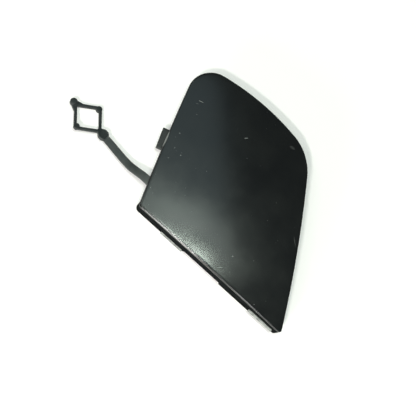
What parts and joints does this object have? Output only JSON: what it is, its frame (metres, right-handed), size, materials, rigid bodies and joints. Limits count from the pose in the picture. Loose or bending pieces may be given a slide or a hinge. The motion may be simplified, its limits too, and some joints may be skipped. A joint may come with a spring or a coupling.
{
  "type": "bumper tow hook cover",
  "caption": "Crowned plastic cover for a bumper's tow eye opening, with a return lip, a side tab, snap arms at the back and a tether ending in a diamond loop.",
  "frame": {"origin": "middle of the part's footprint, tether included, on the plane that the lip, the arms and the loop stand on", "axes": "+X along the lower edge from the left corner to the tip, +Y across the face to the top edge, +Z out of the face"},
  "size_m": [0.1428, 0.0778, 0.0142],
  "materials": {
    "black_plastic": "smooth satin black"
  },
  "bodies": {
    "root": {"cover": "black_plastic"}
  },
  "joints": []
}
